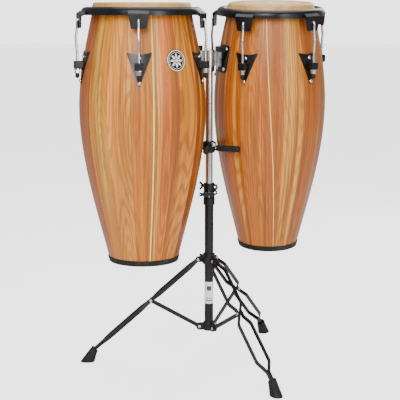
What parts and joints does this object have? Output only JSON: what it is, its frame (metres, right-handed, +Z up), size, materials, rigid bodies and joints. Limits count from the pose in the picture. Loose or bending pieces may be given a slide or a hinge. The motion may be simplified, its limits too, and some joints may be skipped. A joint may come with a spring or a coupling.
{
  "type": "conga drums",
  "caption": "Barrel-shaped stave drums with tensioned skin heads, hung side by side on a telescoping post with folding double-rail legs and padded cradle arms.",
  "frame": {"origin": "middle of the footprint box, on the floor under the feet", "axes": "+Z up, -Y towards the player, +X towards the smaller drum"},
  "size_m": [0.7206, 0.6582, 1.0506],
  "materials": {
    "stave_wood": "satin lacquer over oak-like staves of mixed tone",
    "drum_skin": "natural hide, slightly translucent",
    "gloss_black_paint": "smooth powder coat",
    "stand_paint": "satin powder coat",
    "chrome": "bright plated",
    "black_rubber": "moulded, matte",
    "plated_steel": "zinc plated",
    "nylon": "moulded",
    "badge_enamel": "black enamel with a pale ring, no lettering"
  },
  "bodies": {
    "base": {"lower_tube": "stand_paint", "tube_plug": "black_rubber", "brace_spider": "stand_paint", "spider_pins": "plated_steel", "height_clamp": "stand_paint", "guide_bush": "nylon"},
    "clamp_bolt": {"clamp_bolt": "stand_paint"},
    "memory_lock": {"memory_lock": "stand_paint"},
    "memory_lock_bolt": {"memory_lock_bolt": "stand_paint"},
    "post": {"upper_tube": "chrome", "hanger_bracket": "stand_paint"},
    "cradle": {"cradle_clamp": "stand_paint", "cradle_arms": "stand_paint", "cradle_sleeves": "black_rubber"},
    "cradle_bolt": {"cradle_bolt": "chrome"},
    "collar": {"leg_collar": "stand_paint", "collar_pins": "plated_steel"},
    "collar_screw": {"collar_screw": "stand_paint"},
    "leg_1": {"leg_1": "stand_paint", "foot_1": "black_rubber"},
    "brace_1": {"brace_1": "stand_paint"},
    "leg_2": {"leg_2": "stand_paint", "foot_2": "black_rubber"},
    "brace_2": {"brace_2": "stand_paint"},
    "leg_3": {"leg_3": "stand_paint", "foot_3": "black_rubber"},
    "brace_3": {"brace_3": "stand_paint"},
    "left_drum": {"left_shell": "stave_wood", "left_bottom_ring": "black_rubber", "left_head": "drum_skin", "left_flesh_hoop": "plated_steel", "left_rim": "gloss_black_paint", "left_lug_plates": "gloss_black_paint", "left_tuning_rods": "chrome", "left_lug_hardware": "chrome", "left_rod_tips": "black_rubber", "left_mount_plate": "gloss_black_paint", "left_backing_plates": "plated_steel", "left_badge": "badge_enamel"},
    "left_nut_1": {"left_tuning_nut_1": "chrome"},
    "left_nut_2": {"left_tuning_nut_2": "chrome"},
    "left_nut_3": {"left_tuning_nut_3": "chrome"},
    "left_nut_4": {"left_tuning_nut_4": "chrome"},
    "left_nut_5": {"left_tuning_nut_5": "chrome"},
    "right_drum": {"right_shell": "stave_wood", "right_bottom_ring": "black_rubber", "right_head": "drum_skin", "right_flesh_hoop": "plated_steel", "right_rim": "gloss_black_paint", "right_lug_plates": "gloss_black_paint", "right_tuning_rods": "chrome", "right_lug_hardware": "chrome", "right_rod_tips": "black_rubber", "right_mount_plate": "gloss_black_paint", "right_backing_plates": "plated_steel"},
    "right_nut_1": {"right_tuning_nut_1": "chrome"},
    "right_nut_2": {"right_tuning_nut_2": "chrome"},
    "right_nut_3": {"right_tuning_nut_3": "chrome"},
    "right_nut_4": {"right_tuning_nut_4": "chrome"},
    "right_nut_5": {"right_tuning_nut_5": "chrome"}
  },
  "joints": [
    {"name": "collar_slide", "type": "slide", "parent": "base", "child": "collar", "axis": [0, 0, 1], "range_m": [0, 0.141]},
    {"name": "leg_1_fold", "type": "hinge", "parent": "collar", "child": "leg_1", "pos_m": [-0.01338, 0, 0.308], "axis": [0, -1, 0], "range_deg": [0, 39.58]},
    {"name": "brace_1_fold", "type": "hinge", "parent": "base", "child": "brace_1", "pos_m": [-0.00968, 0, 0.108], "axis": [0, -1, 0], "range_deg": [-49.87, 0]},
    {"name": "leg_2_fold", "type": "hinge", "parent": "collar", "child": "leg_2", "pos_m": [0.03357, -0.02711, 0.308], "axis": [0.866, 0.5, 0], "range_deg": [0, 39.58]},
    {"name": "brace_2_fold", "type": "hinge", "parent": "base", "child": "brace_2", "pos_m": [0.03172, -0.0239, 0.108], "axis": [0.866, 0.5, 0], "range_deg": [-49.87, 0]},
    {"name": "leg_3_fold", "type": "hinge", "parent": "collar", "child": "leg_3", "pos_m": [0.03357, 0.02711, 0.308], "axis": [-0.866, 0.5, 0], "range_deg": [0, 39.58]},
    {"name": "brace_3_fold", "type": "hinge", "parent": "base", "child": "brace_3", "pos_m": [0.03172, 0.0239, 0.108], "axis": [-0.866, 0.5, 0], "range_deg": [-49.87, 0]},
    {"name": "clamp_bolt_turn", "type": "hinge", "parent": "base", "child": "clamp_bolt", "pos_m": [0.00442, -0.0165, 0.501], "axis": [-1, 0, 0], "continuous": true},
    {"name": "height_slide", "type": "slide", "parent": "base", "child": "memory_lock", "axis": [0, 0, 1], "range_m": [0, 0.2]},
    {"name": "memory_lock_bolt_turn", "type": "hinge", "parent": "memory_lock", "child": "memory_lock_bolt", "pos_m": [0.00442, 0.0165, 0.52165], "axis": [-1, 0, 0], "continuous": true},
    {"name": "post_swivel", "type": "hinge", "parent": "memory_lock", "child": "post", "pos_m": [0.01792, 0, 0.5113], "axis": [0, 0, 1], "continuous": true},
    {"name": "cradle_slide", "type": "slide", "parent": "post", "child": "cradle", "axis": [0, 0, 1], "range_m": [-0.06, 0]},
    {"name": "cradle_bolt_turn", "type": "hinge", "parent": "cradle", "child": "cradle_bolt", "pos_m": [0.02907, -0.02012, 0.645], "axis": [0.4848, -0.8746, 0], "continuous": true},
    {"name": "collar_screw_turn", "type": "hinge", "parent": "collar", "child": "collar_screw", "pos_m": [0.00095, -0.01697, 0.321], "axis": [-0.7071, -0.7071, 0], "continuous": true},
    {"name": "left_drum_lift", "type": "slide", "parent": "post", "child": "left_drum", "axis": [0, 0, 1], "range_m": [0, 0.04]},
    {"name": "left_nut_1_turn", "type": "hinge", "parent": "left_drum", "child": "left_nut_1", "pos_m": [-0.16608, -0.27632, 0.862], "axis": [0, 0, 1], "continuous": true},
    {"name": "left_nut_2_turn", "type": "hinge", "parent": "left_drum", "child": "left_nut_2", "pos_m": [0.00637, -0.15103, 0.862], "axis": [0, 0, 1], "continuous": true},
    {"name": "left_nut_3_turn", "type": "hinge", "parent": "left_drum", "child": "left_nut_3", "pos_m": [-0.0595, 0.05169, 0.862], "axis": [0, 0, 1], "continuous": true},
    {"name": "left_nut_4_turn", "type": "hinge", "parent": "left_drum", "child": "left_nut_4", "pos_m": [-0.27266, 0.05169, 0.862], "axis": [0, 0, 1], "continuous": true},
    {"name": "left_nut_5_turn", "type": "hinge", "parent": "left_drum", "child": "left_nut_5", "pos_m": [-0.33852, -0.15103, 0.862], "axis": [0, 0, 1], "continuous": true},
    {"name": "right_drum_lift", "type": "slide", "parent": "post", "child": "right_drum", "axis": [0, -0.0698, 0.9976], "range_m": [0, 0.04]},
    {"name": "right_nut_1_turn", "type": "hinge", "parent": "right_drum", "child": "right_nut_1", "pos_m": [0.10923, -0.06961, 0.85218], "axis": [0, -0.0698, 0.9976], "continuous": true},
    {"name": "right_nut_2_turn", "type": "hinge", "parent": "right_drum", "child": "right_nut_2", "pos_m": [0.30726, -0.04885, 0.85363], "axis": [0, -0.0698, 0.9976], "continuous": true},
    {"name": "right_nut_3_turn", "type": "hinge", "parent": "right_drum", "child": "right_nut_3", "pos_m": [0.34866, 0.14544, 0.86721], "axis": [0, -0.0698, 0.9976], "continuous": true},
    {"name": "right_nut_4_turn", "type": "hinge", "parent": "right_drum", "child": "right_nut_4", "pos_m": [0.17622, 0.24476, 0.87416], "axis": [0, -0.0698, 0.9976], "continuous": true},
    {"name": "right_nut_5_turn", "type": "hinge", "parent": "right_drum", "child": "right_nut_5", "pos_m": [0.02824, 0.11185, 0.86487], "axis": [0, -0.0698, 0.9976], "continuous": true}
  ],
  "couplings": [
    {"joint": "leg_1_fold", "follows": "collar_slide", "rad_per_m": 4.8928},
    {"joint": "brace_1_fold", "follows": "collar_slide", "rad_per_m": -6.1667},
    {"joint": "leg_2_fold", "follows": "collar_slide", "rad_per_m": 4.8928},
    {"joint": "brace_2_fold", "follows": "collar_slide", "rad_per_m": -6.1667},
    {"joint": "leg_3_fold", "follows": "collar_slide", "rad_per_m": 4.8928},
    {"joint": "brace_3_fold", "follows": "collar_slide", "rad_per_m": -6.1667}
  ]
}
